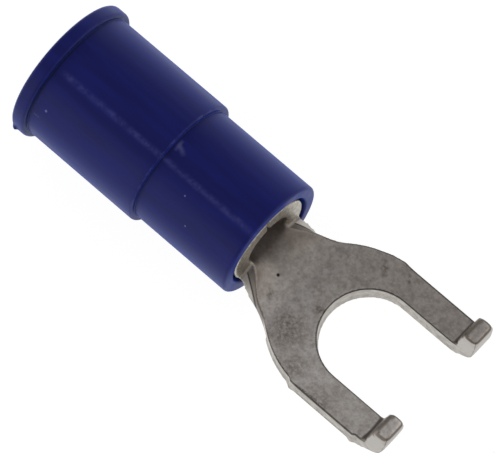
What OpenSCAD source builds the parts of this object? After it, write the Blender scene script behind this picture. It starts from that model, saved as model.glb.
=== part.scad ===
// Insulated fork terminal with upturned tips: a stamped and rolled sheet-metal fork in a moulded sleeve.
// Millimetres. +X points to the fork tips and +Z is up, square to the tongue.
// The origin is the centre of the stud slot, on the underside of the tongue.

/* [Fork sheet] */
// Thickness of the metal sheet
sheet_t = 0.9; // [0.7:0.05:1]

/* [Stud slot and tines] */
// Width of the stud slot
slot_w = 4.3; // [3.4:0.1:4.8]
// Width of each tine beside the slot
tine_w = 1.32; // [1.1:0.02:1.8]
// Distance from the slot centre to the front of the tips, above their bend
tine_reach = 3.72; // [3.2:0.01:5]
// Height of the upturned tips above the top of the tongue
tip_h = 1.95; // [1.5:0.05:2.8]
// Thickness of the upturned tips at their top
tip_t = 0.7; // [0.5:0.02:0.84]
// Inside radius of the bend at the tips
bend_r = 0.25; // [0.1:0.05:0.5]
// Outside radius of the bend at the tips
heel_r = 1.4; // [1.05:0.05:1.6]
// How far the tips lean forward at their top
tip_lean = 0.16; // [0:0.02:0.3]
// Narrowing of the tips towards their top, on the outer side
tip_taper = 0.12; // [0:0.02:0.2]
// Rounding of the tips' outer top corners, seen from the front
tip_corner_r = 0.3; // [0.1:0.02:0.5]
// Rounding of the tips' inner top corners, seen from the front
tip_inner_r = 0.12; // [0.06:0.02:0.3]
// Rounding of the tips' upright front corners beside the slot
tip_edge_r = 0.1; // [0.06:0.02:0.4]
// Rounding of the tips' upright front corners on the outer side
tip_outer_r = 0.34; // [0.1:0.02:0.5]
// Chamfer along the top edges of the tips
tip_chamfer = 0.1; // [0.04:0.02:0.16]

/* [Shoulder and neck] */
// Radius of the round shoulders
shoulder_r = 4.5; // [4:0.1:6]
// Distance of the shoulder arcs' centres behind the slot centre
shoulder_back = 0.7; // [0.3:0.1:1.2]
// Radius of the fillets between the shoulders and the neck
fillet_r = 4.2; // [3:0.1:5]
// Width of the neck in the flat sheet
neck_w = 3.5; // [3:0.1:4]
// Length over which the sides of the neck roll up into the barrel
roll_l = 1.25; // [1.2:0.05:1.7]
// Length over which the flat tongue rises to the barrel
rise_l = 2; // [1.7:0.05:2.4]
// Distance from the front rim of the barrel to the slot centre
tongue_l = 5.53; // [5.2:0.01:7]
// Drop of the tongue's underside below the underside of the barrel
tongue_drop = 0.5; // [0.1:0.02:0.6]

/* [Barrel] */
// Inside diameter of the barrel, for the stripped wire
bore_d = 2.3; // [2.1:0.1:2.7]
// Length of the barrel
barrel_l = 5; // [4:0.25:6]
// Gap of the butt seam along the top of the barrel
seam_gap = 0.1; // [0.06:0.02:0.3]
// Depth of the countersink in the wire end of the barrel
barrel_sink = 0.25; // [0.1:0.05:0.4]

/* [Sleeve outside] */
// Diameter of the front section of the sleeve
front_d = 5.54; // [5.3:0.02:6]
// Length of the front section
front_l = 5; // [4:0.1:6]
// Diameter of the rear section of the sleeve
rear_d = 6.04; // [5.8:0.02:6.6]
// Length of the rear section with its lip
rear_l = 6.52; // [5.5:0.01:8]
// Diameter of the lip
lip_d = 6.56; // [6.3:0.02:7.4]
// Thickness of the lip along the axis
lip_t = 0.7; // [0.5:0.02:0.9]
// Rounding of the front edge and of the step
edge_r = 0.14; // [0.06:0.02:0.2]
// Rounding of the lip
lip_r = 0.2; // [0.1:0.02:0.25]

/* [Sleeve inside] */
// Wall of the rear section
rear_wall = 0.57; // [0.45:0.01:0.65]
// Clearance between the barrel and the sleeve that grips it
grip_gap = 0.02; // [0.01:0.01:0.05]
// Widening of the bore at the front mouth
mouth_flare = 0.14; // [0.05:0.01:0.2]
// Depth of the widened front mouth
mouth_l = 0.9; // [0.5:0.1:1.5]
// Distance of the barrel's rim behind the front face of the sleeve
rim_recess = 0.05; // [0:0.01:0.2]
// Radial clearance of the throat round the barrel's bore
throat_gap = 0.1; // [0.05:0.05:0.2]
// Length of the throat
throat_l = 0.4; // [0.3:0.1:0.8]
// Length of the funnel that leads the wire into the throat
funnel_l = 1.2; // [0.8:0.1:1.6]
// Chamfer of the wire entry
entry_chamfer = 0.2; // [0.1:0.02:0.24]

/* [Hidden] */
$fn = 96;
// Overshoot of cutting shapes
over = 1;
// Facets across and along the rolled neck, along each curved side of the tongue and round the tips' arcs
neck_cols = 14;
neck_rows = 16;
side_rows = 24;
arc_rows = 8;
// Length of the neck's roots inside the barrel wall and the tongue
neck_root = 0.4;
// Length of the tips' roots inside the tines
tip_root = 0.4;
// Inset of the neck from both faces of the barrel wall at the rim
neck_inset = 0.01;

// Fork
slot_r = slot_w / 2;
fork_w = slot_w + 2 * tine_w;
bend_x = tine_reach - sheet_t - bend_r;
bend_z = sheet_t + bend_r;
heel_x = tine_reach - heel_r;
root_x = heel_x - tip_root;
tip_top = sheet_t + tip_h;
tip_front_x = tine_reach + tip_lean;
tip_l = tip_front_x - root_x;
shoulder_y = shoulder_r - fork_w / 2;
fillet_y = neck_w / 2 + fillet_r;
fillet_x = -shoulder_back - sqrt(pow(shoulder_r + fillet_r, 2) - pow(fillet_y + shoulder_y, 2));
// Point where the shoulder arc runs into the fillet arc
blend_share = shoulder_r / (shoulder_r + fillet_r);
blend_x = -shoulder_back + (fillet_x + shoulder_back) * blend_share;

// Barrel
rim_x = -tongue_l;
bore_r = bore_d / 2;
barrel_r = bore_r + sheet_t;
barrel_mid_r = bore_r + sheet_t / 2;
axis_z = barrel_r + tongue_drop;
barrel_end_x = rim_x - barrel_l;
flat_x = rim_x + rise_l;

// Sleeve
front_x = rim_x + rim_recess;
step_x = front_x - front_l;
end_x = step_x - rear_l;
lip_x = end_x + lip_t;
grip_r = barrel_r + grip_gap;
mouth_r = grip_r + mouth_flare;
stop_x = barrel_end_x - grip_gap;
throat_r = bore_r + throat_gap;
throat_x = stop_x - throat_l;
entry_r = rear_d / 2 - rear_wall;
entry_x = throat_x - funnel_l;

// Half the width of the flat sheet at a place along the neck
function sheet_half(x) =
    x < fillet_x ? neck_w / 2 :
    x < blend_x ? fillet_y - sqrt(pow(fillet_r, 2) - pow(x - fillet_x, 2)) :
    sqrt(pow(shoulder_r, 2) - pow(x + shoulder_back, 2)) - shoulder_y;

// Smooth run from 0 to 1
function ease(u) = u * u * (3 - 2 * u);

// Share left of a change along the neck: 1 at the rim, 0 from a length ahead of it
function left_of(x, length) = 1 - ease(max(0, min(1, (x - rim_x) / length)));

// How far the sheet is rolled at a place along the neck
function rolled(x) = left_of(x, roll_l);

// Height of the middle of the sheet along the neck, at its lowest line
function neck_z(x) = sheet_t / 2 + tongue_drop * left_of(x, rise_l);

// Point of the neck, by its distance s across the sheet, its height h above the sheet's middle
// and the curvature k of the sheet there
function neck_point(x, s, h, k) =
    k == 0
    ? [x, s, neck_z(x) + h]
    : [x, (1 / k - h) * sin(s * k * 180 / PI),
       neck_z(x) + 1 / k - (1 / k - h) * cos(s * k * 180 / PI)];

// Closed section of the neck: its top side, then its underside the other way
function neck_section(x) = [
    for (side = [1, -1], i = [0 : neck_cols])
        neck_point(x, side * sheet_half(min(x, flat_x)) * (2 * i / neck_cols - 1),
                   side * (sheet_t / 2 - neck_inset * rolled(x)), rolled(x) / barrel_mid_r)
];

// Places of the neck's sections: from the rim to the flat tongue, with a root beyond each end
neck_places = [
    rim_x - neck_root,
    for (i = [0 : neck_rows]) rim_x + rise_l * i / neck_rows,
    flat_x + neck_root
];

// Two triangles of a four-sided patch, split along one diagonal or the other
function patch(a, b, c, d, other) = other ? [[a, b, d], [b, c, d]] : [[a, b, c], [a, c, d]];

// Sheet that rolls up from the flat tongue to the barrel
module neck() {
    ring = 2 * (neck_cols + 1);
    last = (len(neck_places) - 1) * ring;
    polyhedron(
        points = [for (x = neck_places) each neck_section(x)],
        faces = [
            for (i = [0 : neck_cols - 1])
                each patch(i, ring - 1 - i, ring - 2 - i, i + 1, i < neck_cols / 2),
            for (i = [0 : neck_cols - 1])
                each patch(last + i, last + i + 1, last + ring - 2 - i, last + ring - 1 - i,
                           i < neck_cols / 2),
            for (row = [0 : ring : last - ring], i = [0 : ring - 1])
                each patch(row + i, row + (i + 1) % ring, row + ring + (i + 1) % ring, row + ring + i,
                           i % (neck_cols + 1) < neck_cols / 2 || i == ring - 1)
        ]
    );
}

// Points down one side of the tongue, from the neck round the shoulder to the heel of the tip
tongue_side = [
    for (i = [0 : side_rows])
        let (x = flat_x + (-shoulder_back - flat_x) * i / side_rows)
        [x, sheet_half(x)],
    [heel_x, fork_w / 2]
];

// Outline of the flat tongue up to the heels of the tips
module tongue_outline() {
    difference() {
        polygon(concat(
            tongue_side,
            [for (i = [len(tongue_side) - 1 : -1 : 0]) [tongue_side[i].x, -tongue_side[i].y]]
        ));
        circle(slot_r);
        translate([0, -slot_r]) square([heel_x + over, slot_w]);
    }
}

// Points of an arc about a centre, from a starting angle through a turn
function arc(y, z, r, start, turn) = [
    for (i = [0 : arc_rows])
        let (a = start + turn * i / arc_rows)
        [y + r * cos(a), z + r * sin(a)]
];

// Side profile of an upturned tip, as x and z, with a flat root that lies in the tine
module tip_side() {
    top_back = tip_front_x - tip_t;
    polygon(concat(
        [[root_x, 0]],
        arc(heel_x, heel_r, heel_r, -90, 90),
        [
            [tip_front_x, tip_top - tip_chamfer],
            [tip_front_x - tip_chamfer, tip_top],
            [top_back + tip_chamfer, tip_top],
            [top_back, tip_top - tip_chamfer]
        ],
        arc(bend_x, bend_z, bend_r, 0, -90),
        [[root_x, sheet_t]]
    ));
}

// Outline of a tip from the front: straight on the slot's side, narrower towards the top on the outer side
module tip_front() {
    outer_y = tine_w - tip_taper - tip_corner_r;
    polygon(concat(
        [[0, 0], [tine_w, 0], [tine_w, sheet_t]],
        arc(outer_y, tip_top - tip_corner_r, tip_corner_r, 0, 90),
        arc(tip_inner_r, tip_top - tip_inner_r, tip_inner_r, 90, 90)
    ));
}

// Outline of a tip from above, from its root to its rounded front corners
module tip_plan() {
    polygon(concat(
        [[0, 0], [tine_w, 0]],
        arc(tine_w - tip_edge_r, tip_l - tip_edge_r, tip_edge_r, 0, 90),
        arc(tip_outer_r, tip_l - tip_outer_r, tip_outer_r, 90, 90)
    ));
}

// Upturned tip of the tine on the +Y side: its profiles from the side, the front and above meet in it
module tip() {
    intersection() {
        translate([0, slot_r + tine_w, 0])
            rotate([90, 0, 0])
            linear_extrude(tine_w) tip_side();
        translate([root_x, slot_r, 0])
            rotate([90, 0, 90])
            linear_extrude(tip_l) tip_front();
        translate([root_x, slot_r + tine_w, 0])
            rotate([0, 0, -90])
            linear_extrude(tip_top) tip_plan();
    }
}

// Cylinder along the sleeve's axis between two places
module along(r, x0, x1, r_end = undef) {
    translate([x0, 0, axis_z]) rotate([0, 90, 0])
        cylinder(h = x1 - x0, r1 = r, r2 = is_undef(r_end) ? r : r_end);
}

// Stamped fork with its rolled neck and barrel
module fork_terminal() {
    color("#8f8a85") {
        linear_extrude(sheet_t) tongue_outline();
        tip();
        mirror([0, 1, 0]) tip();
        difference() {
            union() {
                along(barrel_r, barrel_end_x, rim_x);
                neck();
            }
            along(bore_r, barrel_end_x - over, rim_x);
            along(bore_r + barrel_sink, barrel_end_x, barrel_end_x + barrel_sink, bore_r);
            translate([barrel_end_x - over, -seam_gap / 2, axis_z])
                cube([barrel_l + 2 * over, seam_gap, barrel_r + over]);
        }
    }
}

// Section of a ring about the axis with rounded outer edges, as radius and place
module ring_section(r, x0, x1, edge) {
    translate([0, x0]) square([r - edge, x1 - x0]);
    translate([0, x0 + edge]) square([r, x1 - x0 - 2 * edge]);
    for (x = [x0 + edge, x1 - edge]) translate([r - edge, x]) circle(edge);
}

// Section of the bore from the wire entry to the front mouth
module bore_section() {
    polygon([
        [0, end_x],
        [entry_r + entry_chamfer, end_x],
        [entry_r, end_x + entry_chamfer],
        [entry_r, entry_x],
        [throat_r, throat_x],
        [throat_r, stop_x],
        [grip_r, stop_x],
        [grip_r, front_x - mouth_l],
        [mouth_r, front_x],
        [0, front_x]
    ]);
}

// Moulded stepped sleeve
module insulating_sleeve() {
    color("#1f2160")
        translate([0, 0, axis_z]) rotate([0, 90, 0]) rotate_extrude() difference() {
            union() {
                ring_section(front_d / 2, step_x - 2 * edge_r, front_x, edge_r);
                ring_section(rear_d / 2, end_x, step_x, edge_r);
                ring_section(lip_d / 2, end_x, lip_x, lip_r);
            }
            bore_section();
        }
}

fork_terminal();
insulating_sleeve();
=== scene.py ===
"""Blue insulated fork terminal with upturned tips, lying on a pale studio floor."""
import math

import bpy
from mathutils import Euler, Matrix, Vector


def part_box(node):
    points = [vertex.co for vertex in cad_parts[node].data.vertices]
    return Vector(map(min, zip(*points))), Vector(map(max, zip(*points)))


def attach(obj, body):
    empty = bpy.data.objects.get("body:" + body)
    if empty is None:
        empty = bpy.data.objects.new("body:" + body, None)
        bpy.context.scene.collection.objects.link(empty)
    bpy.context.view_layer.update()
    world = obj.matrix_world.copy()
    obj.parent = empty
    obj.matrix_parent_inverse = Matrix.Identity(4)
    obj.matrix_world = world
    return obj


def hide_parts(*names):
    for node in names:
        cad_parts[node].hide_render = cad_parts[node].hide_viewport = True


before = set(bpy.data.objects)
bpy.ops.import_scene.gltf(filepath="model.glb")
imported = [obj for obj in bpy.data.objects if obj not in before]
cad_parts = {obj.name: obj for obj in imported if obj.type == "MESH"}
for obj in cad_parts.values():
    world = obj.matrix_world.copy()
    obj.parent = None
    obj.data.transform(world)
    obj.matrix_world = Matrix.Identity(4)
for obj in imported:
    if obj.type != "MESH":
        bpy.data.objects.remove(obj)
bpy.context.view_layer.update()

MM = 0.001
sleeve_low, sleeve_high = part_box("insulating_sleeve")
axis_z = (sleeve_low.z + sleeve_high.z) / 2
wire_end = sleeve_low.x
fork_end = sleeve_high.x

# Sleeve outside, in millimetres: the lip round the wire end, the rear section and the front section
LIP_RADIUS = (sleeve_high.z - sleeve_low.z) / 2 / MM
LIP_THICKNESS = 0.70
REAR_RADIUS = 3.02
REAR_LENGTH = 6.52
FRONT_RADIUS = 2.77
# Where along X the lip and the rear section end, in metres
lip_end = wire_end + LIP_THICKNESS * MM
rear_end = wire_end + REAR_LENGTH * MM
# Sleeve bores, from the wire end to the fork end
ENTRY_RADIUS = 2.45
ENTRY_CHAMFER = 0.20
ENTRY_DEPTH = 4.85
FUNNEL_LENGTH = 1.20
THROAT_RADIUS = 1.25
THROAT_LENGTH = 0.40
GRIP_RADIUS = 2.07
MOUTH_RADIUS = 2.21
MOUTH_LENGTH = 0.90
# Moulded edges of the sleeve, and the fillets of its two inside corners
LIP_ROUND = 0.17
STEP_ROUND = 0.11
END_ROUND = 0.14
MOUTH_ROUND = 0.08
CORNER_FILLET = 0.03
EDGE_SEGMENTS = 5
# Sides of the sleeve's rings, and the longest stretch between two rings
SLEEVE_SIDES = 240
RING_STEP = 0.4
# Parting line of the sleeve's mould: its angle from the top toward -Y, its height and half its width
PARTING_ANGLE = -19.5
PARTING_HEIGHT = 0.008
PARTING_HALF = 0.22
# Its crest is made of the ring points within this share of a side of it, no deeper than the outer skin and
# clear of the lip
CREST_SHARE = 0.8
OUTER_SKIN = 0.2
LIP_CLEARANCE = 1.2 * LIP_THICKNESS
# Where along X its rubbed colour comes in
PARTING_START = (-16.2, -15.6)
# Painted shade in the sleeve's inside corners and a painted highlight on its step's edge: how far it goes
# along X, and its radii
CORNER_REACH = (0.02, 0.12)
LIP_CORNER = (REAR_RADIUS + 0.12, REAR_RADIUS + 0.22)
STEP_CORNER = (FRONT_RADIUS + 0.06, FRONT_RADIUS + 0.16)
STEP_EDGE = (REAR_RADIUS - 0.14, REAR_RADIUS - 0.02)

# Grain of the mesh that rounds the fork's sheared edges, the passes that relax it and the share of each
FORK_GRAIN = 0.062
FORK_RELAX = 3
RELAX_SHARE = 0.5
# Heights from which the tips are relaxed and their tops are worn round, and the passes of each
TIP_WEAR = ((1.00, 14), (2.36, 24))
# Lower edges that the punch drew out: their height, how far, where along X and how steep the surface is
BURR_HEIGHT = 0.15
BURR_WIDTH = 0.05
BURR_REACH = (-3.3, 3.1)
BURR_STEEP = (-0.9, 0.3)
# Distances in metres within which two points are one, and within which a point lies on a ring
MERGE = 1e-6
ON_RING = 2e-6

# What the die, the bending and handling left on the fork: a box of the surface, how far the push fades
# out around it, and the push
FORK_PUSHES = (
    # Both tips, swollen toward the slot
    ((2.9, -4.0, 1.3), (3.45, 4.0, 2.8), 0.12, (-0.06, 0, 0)),
    # Top of one tip, leaning forward, and its heel, drawn back
    ((2.5, -4.0, 2.2), (4.2, -2.0, 3.0), 1.20, (0.06, 0, 0)),
    ((2.9, -4.0, -0.1), (4.0, -2.0, 0.5), 0.80, (-0.16, 0, 0)),
    # Step in the side of its tine, with a burr at its front and one at its back
    ((-1.25, -4.0, 0.1), (2.25, -3.36, 1.0), 0.14, (0, -0.08, 0)),
    ((2.1, -4.0, -0.1), (2.3, -3.3, 0.2), 0.20, (0.02, -0.05, -0.01)),
    ((-1.3, -4.0, -0.1), (-1.15, -3.2, 0.2), 0.25, (-0.02, -0.05, 0)),
    # Shoulder of the other tine, its corner, and the burr under its tip
    ((-1.60, 3.2, -0.1), (-1.20, 4.0, 1.0), 0.70, (0, 0.035, 0)),
    ((-1.18, 3.2, -0.1), (-1.06, 4.0, 1.0), 0.20, (0, 0.02, 0)),
    ((3.25, 2.0, 0.0), (3.40, 2.25, 0.3), 0.15, (0, -0.06, -0.01)),
    # Pit in the neck, and the butt seam at the rim of the barrel
    ((-4.66, -0.60, 0.9), (-4.50, -0.44, 1.4), 0.06, (0, 0, -0.03)),
    ((-5.75, -0.06, 3.6), (-5.40, 0.06, 4.7), 0.05, (-0.15, 0, 0)),
)
# The same on the sleeve: a sliver of flash at the lip and a nick under the step
SLEEVE_PUSHES = (
    ((-17.1, -4.0, 2.05), (-16.8, -3.1, 2.25), 0.12, (0.06, -0.10, -0.05)),
    ((-10.40, -0.30, 5.2), (-10.20, -0.05, 5.4), 0.16, (0, 0, -0.04)),
)

# Stains on the fork: centre, radius, fade and strength
STAINS = (
    ((-2.75, -1.95, 0.9), 0.25, 1.00, 0.65),
    ((-1.47, -2.97, 0.9), 0.10, 0.60, 0.60),
    ((-2.36, -0.46, 0.9), 0.02, 0.35, 0.85),
    ((-4.36, -1.32, 1.0), 0.02, 0.40, 0.70),
    ((-1.80, 2.94, 0.9), 0.01, 0.22, 0.60),
    ((-1.59, 2.72, 0.9), 0.01, 0.24, 0.85),
    ((-1.38, 2.50, 0.9), 0.01, 0.20, 0.60),
    ((-0.60, 3.17, 0.9), 0.01, 0.13, 0.55),
    ((-0.42, 2.91, 0.9), 0.01, 0.14, 0.80),
    ((0.30, -3.35, 0.9), 0.10, 0.90, 0.45),
)
# Pit in the neck, darkened with painted shade: centre, radius and fade
PIT = ((-4.58, -0.52, 1.15), 0.03, 0.08)
# Broken line that the die left on one tine: its ends, half the width of its core and of all of it, and
# how far it fades at each end
DIE_LINE = (Vector((-0.90, -3.49, 0.9)), Vector((0.50, -3.40, 0.9)))
DIE_LINE_HALF = (0.01, 0.07)
DIE_LINE_FADE = (0.15, 0.20)
# Pale specks on the sleeve and the scuff at the nick under its step, the scuff partly a painted glint along
# the step's foot: place along X and Y, radius of the sleeve there, then radius, fade and strength of the
# mark
SLEEVE_MARKS = (
    (-15.65, -2.44, REAR_RADIUS, 0.03, 0.05, 1.00),
    (-16.08, -2.72, REAR_RADIUS, 0.00, 0.08, 0.25),
    (-15.98, -2.72, REAR_RADIUS, 0.00, 0.08, 0.30),
    (-15.87, -2.72, REAR_RADIUS, 0.00, 0.08, 0.25),
    (-8.75, -1.49, FRONT_RADIUS, 0.01, 0.05, 1.00),
    (-8.06, -2.26, FRONT_RADIUS, 0.01, 0.05, 1.00),
    (-10.31, 0.04, FRONT_RADIUS, 0.00, 0.13, 0.22),
    (-10.30, -0.09, FRONT_RADIUS, 0.00, 0.15, 0.42),
    (-10.29, -0.21, FRONT_RADIUS, 0.00, 0.14, 0.36),
    (-10.28, -0.34, FRONT_RADIUS, 0.00, 0.13, 0.24),
    (-10.18, -0.18, FRONT_RADIUS, 0.00, 0.16, 0.34),
    (-10.06, -0.24, FRONT_RADIUS, 0.00, 0.18, 0.26),
    (-9.93, -0.31, FRONT_RADIUS, 0.00, 0.18, 0.16),
)

# Widths of the patterns in the plating and in the plastic, and the height of the plating's grain. The
# real grain is too fine to show in the render, so it is drawn as coarse as it needs to be to show
GRAIN_WIDTH = 0.13
GRAIN_HEIGHT = 0.02
SPECK_WIDTH = 0.15
STREAK_WIDTH = 0.30
BLOTCH_WIDTH = 0.45
FLOW_WIDTH = 0.50
# Scale of the flow along X, where its streaks are drawn out, and across
FLOW_DRAWN = (0.12, 1.0, 1.0)
# Mottle, clouds and flecks on the faces of the fork: width, strength and colour
PLATE_PATCHES = (
    (0.45, 0.48, "#A89F98"),
    (1.60, 0.35, "#C4BBB3"),
    (0.20, 0.55, "#FFFAF6"),
)
# Brownish painted shade on the trough from the mouth of the sleeve on: where it starts, then where it ends,
# its strength and its colour
MOUTH_SHADE_START = -5.6
MOUTH_SHADE = ((-3.4, 0.55, "#8A7C72"), (-4.6, 0.12, "#40362F"))
# Places along X between which the finish of the fork and its painted shade change, and the one across Y
RIM_END = (-5.55, -5.40)
NECK_START = (-5.45, -5.40)
NECK_END = (-3.9, -3.6)
SLOPE_END = (-4.6, -3.1)
EDGE_LINE_START = (-3.9, -3.4)
BURR_START = (-3.6, -3.3)
TIP_START = (2.3, 2.6)
TIP_FRONT = (2.8, 3.0)
SHADE_ACROSS = (-3.0, 3.0)
# Cut edges of the neck: half the width between them at the rim and at the tongue, those places along X,
# how far the edges fade, and half the width of the core of their painted dark line of shade and of all of it
NECK_HALF = (1.40, 2.57)
NECK_HALF_AT = (-5.50, -3.57)
CUT_FADE = 0.02
CUT_LINE_HALF = (0.01, 0.06)
# Distance from the middle at which the sides of the neck count fully as turned outward
NECK_SIDE = 1.5
# Heights between which the finish of the fork, its painted shade and its painted highlight change
BURR_TOP = (0.35, 0.60)
EDGE_LINE_FOOT = (0.40, 0.60)
TIP_FOOT = (0.92, 1.02)
TIP_EDGE = (0.5, 1.6)
TIP_CORNER = (0.9, 1.3)
TIP_LINE = (1.5, 1.9)
TIP_TOP = (1.5, 2.3)

# Colours of the plating: its faces, its sheared edges, the painted shade and highlight on them, and the
# painted dark lines of shade at the edges that the die rolled
PLATE = "#D2CBC5"
PLATE_GRAIN = "#F4EDE8"
PLATE_SHADE = "#DCDAD8"
STAIN = "#74604F"
DIE_LINE_DIRT = "#4A3F38"
# Painted shade on the slopes of the trough
PAINTED_SLOPE_SHADE = "#6E6259"
# Painted shade on the outward sides of the neck and the inner faces of the tips
PAINTED_SIDE_SHADE = "#7C746C"
PAINTED_PIT_SHADE = "#241F1C"
# Painted highlight on the tops of the tips
PAINTED_TOP_HIGHLIGHT = "#F4ECE4"
EDGE = "#A39E98"
EDGE_STREAK = "#BDB8B1"
EDGE_OF_TIP = "#B6B1AB"
# Painted shade on the sheared edges that face +X
EDGE_FRONT_SHADE = "#7E776F"
RIM = "#DAD6CA"
RIM_DIRT = "#A09B8E"
# Painted dark lines of shade along the rounded edges, browner on the tips
PAINTED_EDGE_SHADE = "#2A2521"
PAINTED_TIP_EDGE_SHADE = "#5E5148"
PLATE_ROUGHNESS = 0.52
EDGE_ROUGHNESS = 0.40
# Colours of the plastic: its skin, the streaks of its flow, pale marks, the rubbed parting line, a painted
# highlight on the step's edge and painted shade in its inside corners
PVC = "#151865"
PVC_FLOW = "#191E74"
PVC_MARK = "#7C7EB4"
# Pale blue of the rubbed parting line, and of the painted highlight along the step's outer edge
PVC_RUBBED_AND_HIGHLIGHT = "#4A4E96"
# Painted shade in the inside corners under the lip and under the step
PAINTED_LIP_SHADE = "#0A0C2C"
PAINTED_STEP_SHADE = "#0C0E34"
PVC_HAZE = "#4478FF"
PVC_ROUGHNESS = (0.34, 0.44)

# Light tent: strength of its walls and its top, and the share of that at its opening and at its back
WHITE = "#FFFFFF"
WALL_LIGHT = 1.15
TOP_LIGHT = 0.33
OPENING_SHARE = 0.40
BACK_SHARE = 0.62
# Where these change: how far a direction points upward, or toward the opening
WALL_TOP = (0.25, 0.75)
OPENING_EDGE = (0.55, 0.95)
BACK_EDGE = (-0.8, -0.1)
# Table: its colour, its size in metres, its clearance, where along X it meets the undersides of the tines,
# its glow and the share that this has in what the camera sees
FLOOR_WHITE = "#F2F2F2"
FLOOR_SIZE = 4.0
FLOOR_GAP = 0.02
HEEL_X = 2.32
FLOOR_GLOW = 1.16
GLOW_SHARE = 0.82

# The camera of the photograph, in degrees and millimetres
VIEW_AZIMUTH = 45.23
VIEW_ELEVATION = 69.79
VIEW_ROLL = -2.94
VIEW_DISTANCE = 200.0
VIEW_AIM = (-6.524, -0.215, 2.771)
VIEW_LENS = 355.2
VIEW_SENSOR = 36.0
VIEW_START = 10.0

# Settings that many shader nodes share
SMOOTH = {"interpolation_type": "SMOOTHSTEP"}
COLOUR = {"data_type": "RGBA"}
TIMES = {"operation": "MULTIPLY"}


def linear(hex_colour):
    """sRGB hex to the linear colour that a shader takes."""
    values = [int(hex_colour[i:i + 2], 16) / 255 for i in (1, 3, 5)]
    return [v / 12.92 if v <= 0.04045 else ((v + 0.055) / 1.055) ** 2.4 for v in values] + [1.0]


def add(tree, kind, inputs=None, **settings):
    """Adds one shader node with its settings and its inputs, by name or number; gives the output in use."""
    node = tree.nodes.new("ShaderNode" + kind)
    for name, value in settings.items():
        setattr(node, name, value)
    for socket, value in (inputs or {}).items():
        if isinstance(value, bpy.types.NodeSocket):
            tree.links.new(value, node.inputs[socket])
        else:
            node.inputs[socket].default_value = value
    return next((output for output in node.outputs if output.enabled), None)


def new_material(name):
    """A material with its Principled shader and its Object coordinates in metres."""
    material = bpy.data.materials.new(name)
    material.use_nodes = True
    tree = material.node_tree
    return material, tree, tree.nodes["Principled BSDF"], add(tree, "TexCoord").node.outputs["Object"]


def round_mark(tree, place, centre, radius, fade, strength):
    """How much of a round mark shows at a place: all of it within its radius, fading out beyond."""
    away = add(tree, "VectorMath", {0: place, 1: centre}, operation="DISTANCE")
    ends = {1: radius * MM, 2: (radius + fade) * MM, 3: strength, 4: 0.0}
    return add(tree, "MapRange", {0: away, **ends}, **SMOOTH)


def die_line(tree, place, specks):
    """How much of the broken line shows that the die left beside the outer edge of one tine."""
    run = DIE_LINE[1] - DIE_LINE[0]
    core, edge = DIE_LINE_HALF
    beside = Vector((-run.y, run.x, 0)).normalized()
    start = add(tree, "VectorMath", {0: place, 1: DIE_LINE[0] * MM}, operation="SUBTRACT")
    off = add(tree, "VectorMath", {0: start, 1: beside}, operation="DOT_PRODUCT")
    along = add(tree, "VectorMath", {0: start, 1: run.normalized()}, operation="DOT_PRODUCT")
    off = add(tree, "Math", {0: off}, operation="ABSOLUTE")
    line = add(tree, "MapRange", {0: off, 1: core * MM, 2: edge * MM, 3: 0.9, 4: 0.0}, **SMOOTH)
    line = add(tree, "Math", {0: line, 1: specks}, **TIMES)
    for end, inside in ((0.0, DIE_LINE_FADE[0]), (run.length, -DIE_LINE_FADE[1])):
        fade = add(tree, "MapRange", {0: along, 1: (end - inside) * MM, 2: (end + inside) * MM}, **SMOOTH)
        line = add(tree, "Math", {0: line, 1: fade}, **TIMES)
    return line


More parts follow.
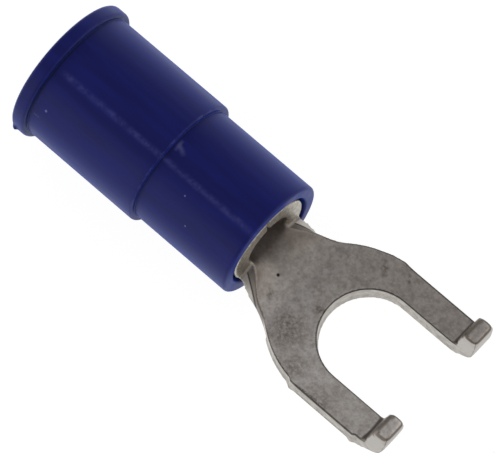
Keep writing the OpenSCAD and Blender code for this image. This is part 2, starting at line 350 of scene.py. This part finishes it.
def plated_face(tree, place, at, facing, grain, specks, neck):
    """Colour of the rolled faces of the strip, with their grain and stains, painted shade and painted
    highlights.
    """
    layers = [(add(tree, "MapRange", {0: grain, 1: 0.30, 2: 0.70}, **SMOOTH), PLATE_GRAIN)]
    for width, strength, tone in PLATE_PATCHES:
        pattern = {"Vector": place, "Scale": 1 / (width * MM), "Detail": 3.0, "Roughness": 0.55}
        patches = add(tree, "TexNoise", pattern)
        layers.append((add(tree, "MapRange", {0: patches, 1: 0.35, 2: 0.72, 4: strength}, **SMOOTH), tone))
    for centre, radius, fade, strength in STAINS:
        spot = round_mark(tree, place, Vector(centre) * MM, radius, fade, strength)
        layers.append((add(tree, "Math", {0: spot, 1: specks}, **TIMES), STAIN))
    layers.append((die_line(tree, place, specks), DIE_LINE_DIRT))

    # Painted shade that darkens the trough toward the mouth of the sleeve, most on its slopes
    upward = add(tree, "MapRange", {0: facing["Z"], 1: 0.15, 2: 0.45}, **SMOOTH)
    for end, strength, tone in MOUTH_SHADE:
        reach = {1: MOUTH_SHADE_START * MM, 2: end * MM, 3: strength, 4: 0.0}
        mouth = add(tree, "MapRange", {0: at["X"], **reach}, **SMOOTH)
        layers.append((add(tree, "Math", {0: mouth, 1: upward}, **TIMES), tone))
    # Painted shade on the sloping parts of the trough, fading out toward the tongue
    slope = add(tree, "MapRange", {0: facing["Z"], 1: 0.70, 2: 0.998, 3: 0.45, 4: 0.0}, **SMOOTH)
    reach = {1: SLOPE_END[0] * MM, 2: SLOPE_END[1] * MM, 3: 1.0, 4: 0.0}
    behind = add(tree, "MapRange", {0: at["X"], **reach}, **SMOOTH)
    layers.append((add(tree, "Math", {0: slope, 1: behind}, **TIMES), PAINTED_SLOPE_SHADE))

    # Painted shade darkens the sides of the neck that turn outward to the tone of the rest
    outward = add(tree, "Math", {0: at["Y"], 1: 1 / (NECK_SIDE * MM)}, **TIMES)
    outward = add(tree, "Math", {0: facing["Y"], 1: outward}, **TIMES)
    turned = add(tree, "MapRange", {0: outward, 1: 0.10, 2: 0.40, 4: 0.8}, **SMOOTH)
    layers.append((add(tree, "Math", {0: turned, 1: neck}, **TIMES), PAINTED_SIDE_SHADE))
    # Painted shade in the pit in the neck
    centre, radius, fade = PIT
    layers.append((round_mark(tree, place, Vector(centre) * MM, radius, fade, 1.0), PAINTED_PIT_SHADE))

    # Painted shade darkens the inner faces of the tips to the tone of the tines, and a painted highlight
    # brightens their tops
    inner = add(tree, "MapRange", {0: facing["X"], 1: -0.6, 2: -0.2, 3: 0.85, 4: 0.0}, **SMOOTH)
    tips = add(tree, "MapRange", {0: at["X"], 1: TIP_START[0] * MM, 2: TIP_START[1] * MM}, **SMOOTH)
    layers.append((add(tree, "Math", {0: inner, 1: tips}, **TIMES), PAINTED_SIDE_SHADE))
    rubbed = {1: TIP_TOP[0] * MM, 2: TIP_TOP[1] * MM, 4: 0.12}
    layers.append((add(tree, "MapRange", {0: at["Z"], **rubbed}, **SMOOTH), PAINTED_TOP_HIGHLIGHT))
    face = linear(PLATE)
    for mask, tone in layers:
        face = add(tree, "Mix", {0: mask, 6: face, 7: linear(tone)}, **COLOUR)
    # Painted shade: the whole face is darker toward +Y
    ends = {1: SHADE_ACROSS[0] * MM, 2: SHADE_ACROSS[1] * MM}
    across = add(tree, "MapRange", {0: at["Y"], **ends}, **SMOOTH)
    shade = {0: across, 6: face, 7: linear(PLATE_SHADE)}
    return add(tree, "Mix", shade, blend_type="MULTIPLY", **COLOUR)


def sheared_edge(tree, place, at, facing, specks):
    """Colour of the sheared edges: streaky, with painted shade on those that face +X such as the fronts of
    the tips, dirty at the barrel's rim.
    """
    streaks = add(tree, "TexNoise", {"Vector": place, "Scale": 1 / (STREAK_WIDTH * MM)})
    ends = {1: RIM_END[0] * MM, 2: RIM_END[1] * MM, 3: 1.0, 4: 0.0}
    rim = add(tree, "MapRange", {0: at["X"], **ends}, **SMOOTH)
    ends = {1: TIP_EDGE[0] * MM, 2: TIP_EDGE[1] * MM}
    tips = add(tree, "MapRange", {0: at["Z"], **ends}, **SMOOTH)
    edge = linear(EDGE)
    for mask, tone in (
            (add(tree, "MapRange", {0: streaks, 1: 0.35, 2: 0.65}, **SMOOTH), EDGE_STREAK),
            (tips, EDGE_OF_TIP),
            (rim, RIM),
            (add(tree, "Math", {0: rim, 1: specks}, **TIMES), RIM_DIRT),
            # Painted shade on the edges that face +X
            (add(tree, "MapRange", {0: facing["X"], 1: 0.5, 2: 0.9, 4: 0.1}, **SMOOTH), EDGE_FRONT_SHADE)):
        edge = add(tree, "Mix", {0: mask, 6: edge, 7: linear(tone)}, **COLOUR)
    return edge


def where_sheared(tree, at, facing, neck, beyond):
    """How much of the surface is sheared: what stands steep, and on the neck what is beyond its edges."""
    level = add(tree, "Math", {0: facing["Z"]}, operation="ABSOLUTE")
    steep = add(tree, "MapRange", {0: level, 1: 0.25, 2: 0.55, 3: 1.0, 4: 0.0}, **SMOOTH)
    # The inner faces of the tips are rolled, not sheared
    rolled = add(tree, "MapRange", {0: facing["X"], 1: -0.6, 2: -0.3}, **SMOOTH)
    steep = add(tree, "Math", {0: steep, 1: rolled}, **TIMES)
    # On the tongue the drawn-out lower edges belong to it
    ends = {1: BURR_TOP[0] * MM, 2: BURR_TOP[1] * MM, 3: 1.0, 4: 0.0}
    lower = add(tree, "MapRange", {0: at["Z"], **ends}, **SMOOTH)
    for value, low, high in (
            (facing["Z"], -0.6, -0.3),
            (at["X"], BURR_START[0] * MM, BURR_START[1] * MM)):
        limit = add(tree, "MapRange", {0: value, 1: low, 2: high}, **SMOOTH)
        lower = add(tree, "Math", {0: lower, 1: limit}, **TIMES)
    steep = add(tree, "Math", {0: steep, 1: lower}, operation="MAXIMUM")
    cut = add(tree, "MapRange", {0: beyond, 1: -CUT_FADE * MM, 2: CUT_FADE * MM}, **SMOOTH)
    return add(tree, "Mix", {0: neck, 2: steep, 3: cut}, data_type="FLOAT")


def rolled_edge_shade(tree, at, facing):
    """How much of the painted dark line of shade shows along the edges that the die rolled over."""
    up = facing["Z"]
    over = add(tree, "MapRange", {0: up, 1: 0.20, 2: 0.40}, **SMOOTH)
    # The painted shade is wider on the sides that face +Y
    plus_y = add(tree, "MapRange", {0: facing["Y"], 1: 0.02, 2: 0.12, 4: 0.7}, **SMOOTH)
    narrow = add(tree, "MapRange", {0: up, 1: 0.88, 2: 0.99, 3: 1.0, 4: 0.0}, **SMOOTH)
    wide = add(tree, "MapRange", {0: up, 1: 0.95, 2: 0.998, 3: 1.0, 4: 0.0}, **SMOOTH)
    wide = add(tree, "Math", {0: wide, 1: plus_y}, **TIMES)
    line = add(tree, "Math", {0: narrow, 1: wide}, operation="MAXIMUM")
    over = add(tree, "Math", {0: over, 1: line}, **TIMES)
    # It starts on the tongue, is fainter in the bends of the tips and keeps to the upper edges
    for value, low, high, at_low, at_high in (
            (at["X"], EDGE_LINE_START[0] * MM, EDGE_LINE_START[1] * MM, 0.0, 0.85),
            (facing["X"], -0.6, -0.2, 0.45, 1.0),
            (at["Z"], EDGE_LINE_FOOT[0] * MM, EDGE_LINE_FOOT[1] * MM, 0.0, 1.0)):
        limit = add(tree, "MapRange", {0: value, 1: low, 2: high, 3: at_low, 4: at_high}, **SMOOTH)
        over = add(tree, "Math", {0: over, 1: limit}, **TIMES)
    # Round the worn tops of the tips it is thin, but wide toward the slot
    tops = add(tree, "MapRange", {0: at["Z"], 1: TIP_LINE[0] * MM, 2: TIP_LINE[1] * MM}, **SMOOTH)
    front = add(tree, "MapRange", {0: facing["X"], 1: -0.22, 2: -0.02}, **SMOOTH)
    tops = add(tree, "Math", {0: tops, 1: front}, **TIMES)
    thin = add(tree, "MapRange", {0: up, 1: 0.70, 2: 0.92, 3: 1.0, 4: 0.0}, **SMOOTH)
    thin = add(tree, "Mix", {0: tops, 2: 1.0, 3: thin}, data_type="FLOAT")
    return add(tree, "Math", {0: over, 1: thin}, **TIMES)


def tip_corner_shade(tree, at, facing):
    """How much of the thin painted line of shade shows down the corner of each tip between its front and its
    -Y side.
    """
    corner = add(tree, "Math", {0: facing["X"], 1: facing["Y"]}, operation="ADD")
    corner = add(tree, "Math", {0: corner}, operation="ABSOLUTE")
    corner = add(tree, "MapRange", {0: corner, 1: 0.05, 2: 0.30, 3: 0.6, 4: 0.0}, **SMOOTH)
    for value, low, high in (
            (facing["X"], 0.4, 0.6),
            (at["X"], TIP_FRONT[0] * MM, TIP_FRONT[1] * MM),
            (at["Z"], TIP_CORNER[0] * MM, TIP_CORNER[1] * MM)):
        limit = add(tree, "MapRange", {0: value, 1: low, 2: high}, **SMOOTH)
        corner = add(tree, "Math", {0: corner, 1: limit}, **TIMES)
    return corner


def tin_plate():
    """Matt electro-tinned copper-alloy strip, blanked, bent and rolled.

    Its faces are a warm grey with a fine grain, browned with painted shade toward the mouth of the sleeve.
    Its sheared edges are brighter than the faces, and a painted dark line of shade runs along the edges that
    the die rolled over.
    """
    material, tree, shader, place = new_material("matt_tin_plate_on_copper_strip")
    at = add(tree, "SeparateXYZ", {0: place}).node.outputs
    facing = add(tree, "SeparateXYZ", {0: add(tree, "NewGeometry").node.outputs["Normal"]}).node.outputs
    pattern = {"Vector": place, "Scale": 1 / (GRAIN_WIDTH * MM), "Detail": 3.0, "Roughness": 0.6}
    grain = add(tree, "TexNoise", pattern)
    pattern = {"Vector": place, "Scale": 1 / (SPECK_WIDTH * MM), "Detail": 3.0, "Roughness": 0.65}
    specks = add(tree, "TexNoise", pattern)
    specks = add(tree, "MapRange", {0: specks, 1: 0.28, 2: 0.70}, **SMOOTH)
    # The neck, between the rim of the barrel and the tongue, and the distance beyond its cut edges
    ends = {1: NECK_END[0] * MM, 2: NECK_END[1] * MM, 3: 1.0, 4: 0.0}
    neck = add(tree, "MapRange", {0: at["X"], **ends}, **SMOOTH)
    ends = {1: NECK_START[0] * MM, 2: NECK_START[1] * MM}
    ahead = add(tree, "MapRange", {0: at["X"], **ends}, **SMOOTH)
    neck = add(tree, "Math", {0: neck, 1: ahead}, **TIMES)
    ends = {1: NECK_HALF_AT[0] * MM, 2: NECK_HALF_AT[1] * MM, 3: NECK_HALF[0] * MM, 4: NECK_HALF[1] * MM}
    half = add(tree, "MapRange", {0: at["X"], **ends})
    beyond = add(tree, "Math", {0: at["Y"]}, operation="ABSOLUTE")
    beyond = add(tree, "Math", {0: beyond, 1: half}, operation="SUBTRACT")

    face = plated_face(tree, place, at, facing, grain, specks, neck)
    edge = sheared_edge(tree, place, at, facing, specks)
    sheared = where_sheared(tree, at, facing, neck, beyond)
    colour = add(tree, "Mix", {0: sheared, 6: face, 7: edge}, **COLOUR)

    # Painted dark lines of shade: along the rolled edges, browner on the tips, down the tips and along the
    # neck's cut edges
    ends = {1: TIP_FOOT[0] * MM, 2: TIP_FOOT[1] * MM}
    raised = add(tree, "MapRange", {0: at["Z"], **ends}, **SMOOTH)
    dark = add(tree, "Mix", {0: raised, 6: linear(PAINTED_EDGE_SHADE), 7: linear(PAINTED_TIP_EDGE_SHADE)}, **COLOUR)
    cut_edge_shade = add(tree, "Math", {0: beyond}, operation="ABSOLUTE")
    ends = {1: CUT_LINE_HALF[0] * MM, 2: CUT_LINE_HALF[1] * MM, 3: 0.85, 4: 0.0}
    cut_edge_shade = add(tree, "MapRange", {0: cut_edge_shade, **ends}, **SMOOTH)
    cut_edge_shade = add(tree, "Math", {0: cut_edge_shade, 1: neck}, **TIMES)
    for mask, tone in (
            (rolled_edge_shade(tree, at, facing), dark),
            (tip_corner_shade(tree, at, facing), linear(PAINTED_TIP_EDGE_SHADE)),
            (cut_edge_shade, linear(PAINTED_EDGE_SHADE))):
        colour = add(tree, "Mix", {0: mask, 6: colour, 7: tone}, **COLOUR)

    tree.links.new(colour, shader.inputs["Base Color"])
    shader.inputs["Metallic"].default_value = 1.0
    roughness = add(tree, "MapRange", {0: sheared, 3: PLATE_ROUGHNESS, 4: EDGE_ROUGHNESS})
    tree.links.new(roughness, shader.inputs["Roughness"])
    relief = add(tree, "Bump", {"Strength": 0.15, "Distance": GRAIN_HEIGHT * MM, "Height": grain})
    tree.links.new(relief, shader.inputs["Normal"])
    return material


def moulded_plastic():
    """Injection-moulded navy-blue PVC.

    A satin skin that brightens to a clearer blue toward its sides, with faint streaks along the flow, the
    scuffed parting line of the mould, painted shade in its two inside corners and a painted highlight on its
    step.
    """
    material, tree, shader, place = new_material("injection_moulded_blue_pvc")
    at_x = add(tree, "SeparateXYZ", {0: place}).node.outputs["X"]
    drawn = add(tree, "Mapping", {"Vector": place, "Scale": FLOW_DRAWN})
    flow = add(tree, "TexNoise", {"Vector": drawn, "Scale": 1 / (FLOW_WIDTH * MM), "Detail": 3.0})
    layers = [(add(tree, "MapRange", {0: flow, 1: 0.35, 2: 0.70}, **SMOOTH), PVC_FLOW)]
    for x, y, body, radius, fade, strength in SLEEVE_MARKS:
        centre = Vector((x * MM, y * MM, axis_z + math.sqrt(body ** 2 - y ** 2) * MM))
        layers.append((round_mark(tree, place, centre, radius, fade, strength), PVC_MARK))

    # Parting line, blotched where it was rubbed; it starts ahead of the lip
    side = math.radians(PARTING_ANGLE)
    lift = add(tree, "VectorMath", {0: place, 1: (0, 0, axis_z)}, operation="SUBTRACT")
    beside = (0, math.cos(side), -math.sin(side))
    off = add(tree, "VectorMath", {0: lift, 1: beside}, operation="DOT_PRODUCT")
    off = add(tree, "Math", {0: off}, operation="ABSOLUTE")
    line = add(tree, "MapRange", {0: off, 1: 0.0, 2: PARTING_HALF * MM, 3: 1.0, 4: 0.0}, **SMOOTH)
    pattern = {"Vector": place, "Scale": 1 / (BLOTCH_WIDTH * MM), "Detail": 4.0, "Roughness": 0.7}
    blotch = add(tree, "TexNoise", pattern)
    for value, low, high, at_low, at_high in (
            (at_x, PARTING_START[0] * MM, PARTING_START[1] * MM, 0.0, 1.0),
            (blotch, 0.32, 0.70, 0.10, 0.75)):
        limit = add(tree, "MapRange", {0: value, 1: low, 2: high, 3: at_low, 4: at_high}, **SMOOTH)
        line = add(tree, "Math", {0: line, 1: limit}, **TIMES)
    layers.append((line, PVC_RUBBED_AND_HIGHLIGHT))

    # Painted shade in the two inside corners, under the lip and under the step, and a blotchy painted
    # highlight on the outer edge of the step
    ring = add(tree, "VectorMath", {0: lift, 1: (0, 1, 1)}, **TIMES)
    radius = add(tree, "VectorMath", {0: ring}, operation="LENGTH")
    # Painted highlight along the step's rounded outer edge, broken up by the blotches
    worn = add(tree, "MapRange", {0: blotch, 1: 0.40, 2: 0.62, 4: 0.6}, **SMOOTH)
    for x, (low, high), at_low, at_high, strength, tone in (
            (lip_end, LIP_CORNER, 1.0, 0.0, 0.8, PAINTED_LIP_SHADE),
            (rear_end, STEP_CORNER, 1.0, 0.0, 0.45, PAINTED_STEP_SHADE),
            (rear_end, STEP_EDGE, 0.0, 1.0, worn, PVC_RUBBED_AND_HIGHLIGHT)):
        away = add(tree, "Math", {0: at_x, 1: x}, operation="SUBTRACT")
        away = add(tree, "Math", {0: away}, operation="ABSOLUTE")
        ends = {1: CORNER_REACH[0] * MM, 2: CORNER_REACH[1] * MM, 3: strength, 4: 0.0}
        near = add(tree, "MapRange", {0: away, **ends}, **SMOOTH)
        ends = {1: low * MM, 2: high * MM, 3: at_low, 4: at_high}
        ledge = add(tree, "MapRange", {0: radius, **ends}, **SMOOTH)
        layers.append((add(tree, "Math", {0: near, 1: ledge}, **TIMES), tone))
    colour = linear(PVC)
    for mask, tone in layers:
        colour = add(tree, "Mix", {0: mask, 6: colour, 7: linear(tone)}, **COLOUR)

    tree.links.new(colour, shader.inputs["Base Color"])
    smooth, rough = PVC_ROUGHNESS
    roughness = add(tree, "MapRange", {0: flow, 1: 0.3, 2: 0.7, 3: smooth, 4: rough})
    tree.links.new(roughness, shader.inputs["Roughness"])
    shader.inputs["Specular IOR Level"].default_value = 0.21
    shader.inputs["Sheen Weight"].default_value = 0.7
    shader.inputs["Sheen Roughness"].default_value = 0.45
    shader.inputs["Sheen Tint"].default_value = linear(PVC_HAZE)
    return material


def select_where(piece, test):
    """Selects in edit mode the vertices that pass the test."""
    bpy.ops.object.mode_set(mode="EDIT")
    bpy.ops.mesh.select_mode(type="VERT")
    bpy.ops.mesh.select_all(action="DESELECT")
    bpy.ops.object.mode_set(mode="OBJECT")
    for vertex in piece.data.vertices:
        vertex.select = test(vertex)
    bpy.ops.object.mode_set(mode="EDIT")


def push(piece, pushes):
    """Pushes the surface inside each box, by 0.16 mm at most, fading out around it."""
    for low, high, fade, move in pushes:
        select_where(piece, lambda vertex: all(
            a * MM < c < b * MM for a, c, b in zip(low, vertex.co, high)))
        bpy.ops.transform.translate(value=Vector(move) * MM, use_proportional_edit=True,
                                    proportional_edit_falloff="SMOOTH", proportional_size=fade * MM)
        bpy.ops.object.mode_set(mode="OBJECT")


def sleeve():
    """The moulded sleeve, drawn ring by ring along its axis and closed on itself."""
    funnel = wire_end + ENTRY_DEPTH * MM
    throat = funnel + FUNNEL_LENGTH * MM
    grip = throat + THROAT_LENGTH * MM
    mouth = fork_end - MOUTH_LENGTH * MM
    # Place along the axis, radius and rounding of each ring
    profile = [
        (wire_end, ENTRY_RADIUS + ENTRY_CHAMFER, 0),
        (wire_end, LIP_RADIUS, LIP_ROUND),
        (lip_end, LIP_RADIUS, LIP_ROUND),
        (lip_end, REAR_RADIUS, CORNER_FILLET),
        (rear_end, REAR_RADIUS, STEP_ROUND),
        (rear_end, FRONT_RADIUS, CORNER_FILLET),
        (fork_end, FRONT_RADIUS, END_ROUND),
        (fork_end, MOUTH_RADIUS, MOUTH_ROUND),
        (mouth, GRIP_RADIUS, 0),
        (grip, GRIP_RADIUS, 0),
        (grip, THROAT_RADIUS, 0),
        (throat, THROAT_RADIUS, 0),
        (funnel, ENTRY_RADIUS, 0),
        (wire_end + ENTRY_CHAMFER * MM, ENTRY_RADIUS, 0),
    ]
    bpy.ops.object.select_all(action="DESELECT")
    bpy.ops.mesh.primitive_circle_add(vertices=SLEEVE_SIDES, radius=profile[0][1] * MM, location=(0, 0, 0))
    piece = bpy.context.object
    piece.name = "moulded_sleeve"
    bpy.ops.object.mode_set(mode="EDIT")
    bpy.ops.mesh.select_all(action="SELECT")
    bpy.ops.transform.rotate(value=math.pi / 2, orient_axis="Y", center_override=(0, 0, 0))
    bpy.ops.transform.translate(value=(wire_end, 0, axis_z))
    for (x0, r0, _), (x1, r1, _) in zip(profile, profile[1:] + profile[:1]):
        parts = max(1, round(abs(x1 - x0) / (RING_STEP * MM)))
        for part in range(parts):
            bpy.ops.mesh.extrude_region_move(TRANSFORM_OT_translate={"value": ((x1 - x0) / parts, 0, 0)})
            growth = (r0 + (r1 - r0) * (part + 1) / parts) / (r0 + (r1 - r0) * part / parts)
            bpy.ops.transform.resize(value=(1, growth, growth), center_override=(x1, 0, axis_z))
    bpy.ops.mesh.select_all(action="SELECT")
    bpy.ops.mesh.remove_doubles(threshold=MERGE)
    bpy.ops.mesh.normals_make_consistent(inside=False)
    for x, radius, rounding in profile:
        if rounding:
            select_where(piece, lambda vertex: abs(vertex.co.x - x) < MERGE
                         and abs(Vector((vertex.co.y, vertex.co.z - axis_z)).length - radius * MM) < ON_RING)
            bpy.ops.mesh.select_mode(type="EDGE")
            bpy.ops.mesh.bevel(offset=rounding * MM, segments=EDGE_SEGMENTS, affect="EDGES")
    bpy.ops.object.mode_set(mode="OBJECT")
    return piece


def parting_line(piece):
    """The low ridge that the halves of the mould leave on both sides of the sleeve, ahead of the lip."""
    half_side = math.radians(CREST_SHARE * 360 / SLEEVE_SIDES)
    ahead = wire_end + LIP_CLEARANCE * MM
    for angle in (math.radians(PARTING_ANGLE), math.radians(PARTING_ANGLE + 180)):
        out = Vector((0, math.sin(angle), math.cos(angle)))

        def on_line(vertex):
            across = Vector((0, vertex.co.y, vertex.co.z - axis_z))
            outside = across.length > (FRONT_RADIUS - OUTER_SKIN) * MM and vertex.co.x > ahead
            return outside and across.angle(out) < half_side
        select_where(piece, on_line)
        bpy.ops.transform.translate(value=out * PARTING_HEIGHT * MM, use_proportional_edit=True,
                                    proportional_edit_falloff="SMOOTH",
                                    proportional_size=PARTING_HALF * MM)
    bpy.ops.object.mode_set(mode="OBJECT")


def fork():
    """The stamped fork: the CAD solid, remeshed finely and relaxed, which softens its sheared edges."""
    bpy.ops.object.select_all(action="DESELECT")
    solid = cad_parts["fork_terminal"]
    solid.select_set(True)
    bpy.context.view_layer.objects.active = solid
    bpy.ops.object.duplicate()
    piece = bpy.context.object
    piece.name = "stamped_fork"
    bpy.ops.object.mode_set(mode="EDIT")
    bpy.ops.mesh.select_all(action="SELECT")
    bpy.ops.mesh.remove_doubles(threshold=MERGE)
    bpy.ops.object.mode_set(mode="OBJECT")
    remesh = piece.modifiers.new("grain", "REMESH")
    remesh.mode = "VOXEL"
    remesh.voxel_size = FORK_GRAIN * MM
    remesh.use_smooth_shade = True
    bpy.ops.object.modifier_apply(modifier=remesh.name)
    relax = piece.modifiers.new("relax", "SMOOTH")
    relax.factor = RELAX_SHARE
    relax.iterations = FORK_RELAX
    bpy.ops.object.modifier_apply(modifier=relax.name)
    return piece


def burr(piece):
    """The lower edges of the tongue, drawn out where the punch broke through the strip."""
    back, front = BURR_REACH
    down, up = BURR_STEEP
    select_where(piece, lambda vertex: vertex.co.z < BURR_HEIGHT * MM
                 and back * MM < vertex.co.x < front * MM and down < vertex.normal.z < up)
    bpy.ops.transform.shrink_fatten(value=BURR_WIDTH * MM, use_proportional_edit=True,
                                    proportional_edit_falloff="SMOOTH", proportional_size=BURR_HEIGHT * MM)
    bpy.ops.object.mode_set(mode="OBJECT")


def wear_tips(piece):
    """The tips, smooth from the bending, with their tops worn round."""
    for height, passes in TIP_WEAR:
        select_where(piece, lambda vertex: vertex.co.z > height * MM and vertex.co.x > 0)
        bpy.ops.mesh.vertices_smooth(factor=RELAX_SHARE, repeat=passes)
        bpy.ops.object.mode_set(mode="OBJECT")


def dress(piece, cad_node, material):
    """Gives a piece its material and lets it stand for its CAD solid."""
    piece.data.materials.clear()
    piece.data.materials.append(material)
    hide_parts(cad_node)
    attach(piece, "root")


def tent():
    """A light tent, dim overhead, its walls darker at the opening on the camera's side and at the back."""
    world = bpy.data.worlds.new("tent")
    bpy.context.scene.world = world
    world.use_nodes = True
    tree = world.node_tree
    tree.nodes.clear()
    direction = add(tree, "TexCoord").node.outputs["Object"]
    height = add(tree, "SeparateXYZ", {0: direction}).node.outputs["Z"]
    ends = {1: WALL_TOP[0], 2: WALL_TOP[1], 3: WALL_LIGHT, 4: TOP_LIGHT}
    walls = add(tree, "MapRange", {0: height, **ends}, **SMOOTH)
    opening = (math.sin(math.radians(VIEW_AZIMUTH)), -math.cos(math.radians(VIEW_AZIMUTH)), 0)
    toward = add(tree, "VectorMath", {0: direction, 1: opening}, operation="DOT_PRODUCT")
    ends = {1: OPENING_EDGE[0], 2: OPENING_EDGE[1], 3: 1.0, 4: OPENING_SHARE}
    shade = add(tree, "MapRange", {0: toward, **ends}, **SMOOTH)
    ends = {1: BACK_EDGE[0], 2: BACK_EDGE[1], 3: BACK_SHARE, 4: 1.0}
    back = add(tree, "MapRange", {0: toward, **ends}, **SMOOTH)
    share = add(tree, "Math", {0: shade, 1: back}, **TIMES)
    strength = add(tree, "Math", {0: walls, 1: share}, **TIMES)
    # Beyond the table the camera sees plain white, and the part reflects the tent
    light = add(tree, "Background", {"Color": linear(WHITE), "Strength": strength})
    white = add(tree, "Background", {"Color": linear(WHITE), "Strength": 1.0})
    seen = add(tree, "LightPath").node.outputs["Is Camera Ray"]
    add(tree, "OutputWorld", {0: add(tree, "MixShader", {0: seen, 1: light, 2: white})})


def floor():
    """A white matt table that touches the lip's lowest point and the undersides of the tines."""
    heel = Vector((HEEL_X * MM, 0, 0))
    lip = Vector((wire_end + LIP_THICKNESS / 2 * MM, 0, sleeve_low.z))
    slope = math.atan2(heel.z - lip.z, heel.x - lip.x)
    bpy.ops.object.select_all(action="DESELECT")
    bpy.ops.mesh.primitive_plane_add(size=FLOOR_SIZE, location=(0, 0, 0))
    table = bpy.context.object
    table.name = "floor"
    bpy.ops.object.mode_set(mode="EDIT")
    bpy.ops.mesh.select_all(action="SELECT")
    bpy.ops.transform.rotate(value=slope, orient_axis="Y", center_override=(0, 0, 0))
    bpy.ops.transform.translate(value=(heel + lip) / 2 - Vector((0, 0, FLOOR_GAP * MM)))
    bpy.ops.object.mode_set(mode="OBJECT")
    material, tree, shader, _ = new_material("white_matt_table")
    shader.inputs["Base Color"].default_value = linear(FLOOR_WHITE)
    shader.inputs["Roughness"].default_value = 0.9
    shader.inputs["Specular IOR Level"].default_value = 0.0
    # The camera and the reflections see the table almost white, with the part's soft shadow left in it
    path = add(tree, "LightPath").node.outputs
    seen = path["Is Camera Ray"]
    for ray in ("Is Glossy Ray", "Is Transmission Ray"):
        seen = add(tree, "Math", {0: seen, 1: path[ray]}, operation="MAXIMUM")
    share = add(tree, "Math", {0: seen, 1: GLOW_SHARE}, **TIMES)
    glow = add(tree, "Emission", {"Color": linear(WHITE), "Strength": FLOOR_GLOW})
    mixed = add(tree, "MixShader", {0: share, 1: shader.outputs[0], 2: glow})
    tree.links.new(mixed, tree.nodes["Material Output"].inputs["Surface"])
    table.data.materials.append(material)


def camera():
    """The photograph's long lens, from above and beside the fork."""
    turn = Euler((math.radians(90 - VIEW_ELEVATION), 0, math.radians(VIEW_AZIMUTH))).to_matrix()
    turn = turn @ Matrix.Rotation(math.radians(VIEW_ROLL), 3, "Z")
    away = turn.col[2] * VIEW_DISTANCE * MM
    bpy.ops.object.camera_add(location=Vector(VIEW_AIM) * MM + away, rotation=turn.to_euler())
    made = bpy.context.object
    made.data.sensor_fit = "HORIZONTAL"
    made.data.sensor_width = VIEW_SENSOR
    made.data.lens = VIEW_LENS
    made.data.clip_start = VIEW_START * MM
    bpy.context.scene.camera = made


sleeve_piece = sleeve()
parting_line(sleeve_piece)
push(sleeve_piece, SLEEVE_PUSHES)
bpy.ops.object.shade_smooth()
dress(sleeve_piece, "insulating_sleeve", moulded_plastic())

fork_piece = fork()
burr(fork_piece)
push(fork_piece, FORK_PUSHES)
wear_tips(fork_piece)
dress(fork_piece, "fork_terminal", tin_plate())

tent()
floor()
camera()
bpy.context.scene.view_settings.view_transform = "Standard"
